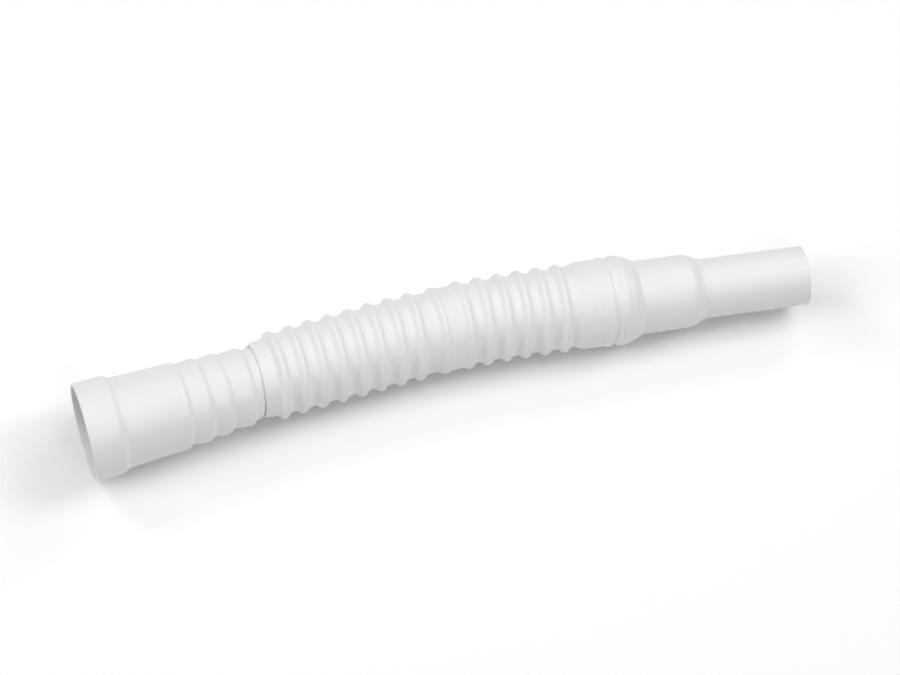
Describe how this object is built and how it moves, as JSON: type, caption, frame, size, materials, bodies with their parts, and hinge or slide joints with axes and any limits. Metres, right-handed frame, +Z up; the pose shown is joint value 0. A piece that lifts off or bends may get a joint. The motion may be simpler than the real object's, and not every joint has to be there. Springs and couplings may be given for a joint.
{
  "type": "collapsible waste pipe",
  "caption": "Flexible bellows waste pipe with a socket at one end and a stepped spigot at the other, for joining an appliance or sink outlet to a drain.",
  "frame": {"origin": "under the middle of the pipe's box, on the floor it lies on", "axes": "+X along the pipe from socket to spigot, +Y to the side it bulges to, +Z up"},
  "size_m": [0.3996, 0.0656, 0.053],
  "materials": {
    "white_polypropylene": "white blow-moulded polypropylene, satin, with soft highlights"
  },
  "bodies": {
    "root": {"waste_pipe": "white_polypropylene"}
  },
  "joints": []
}
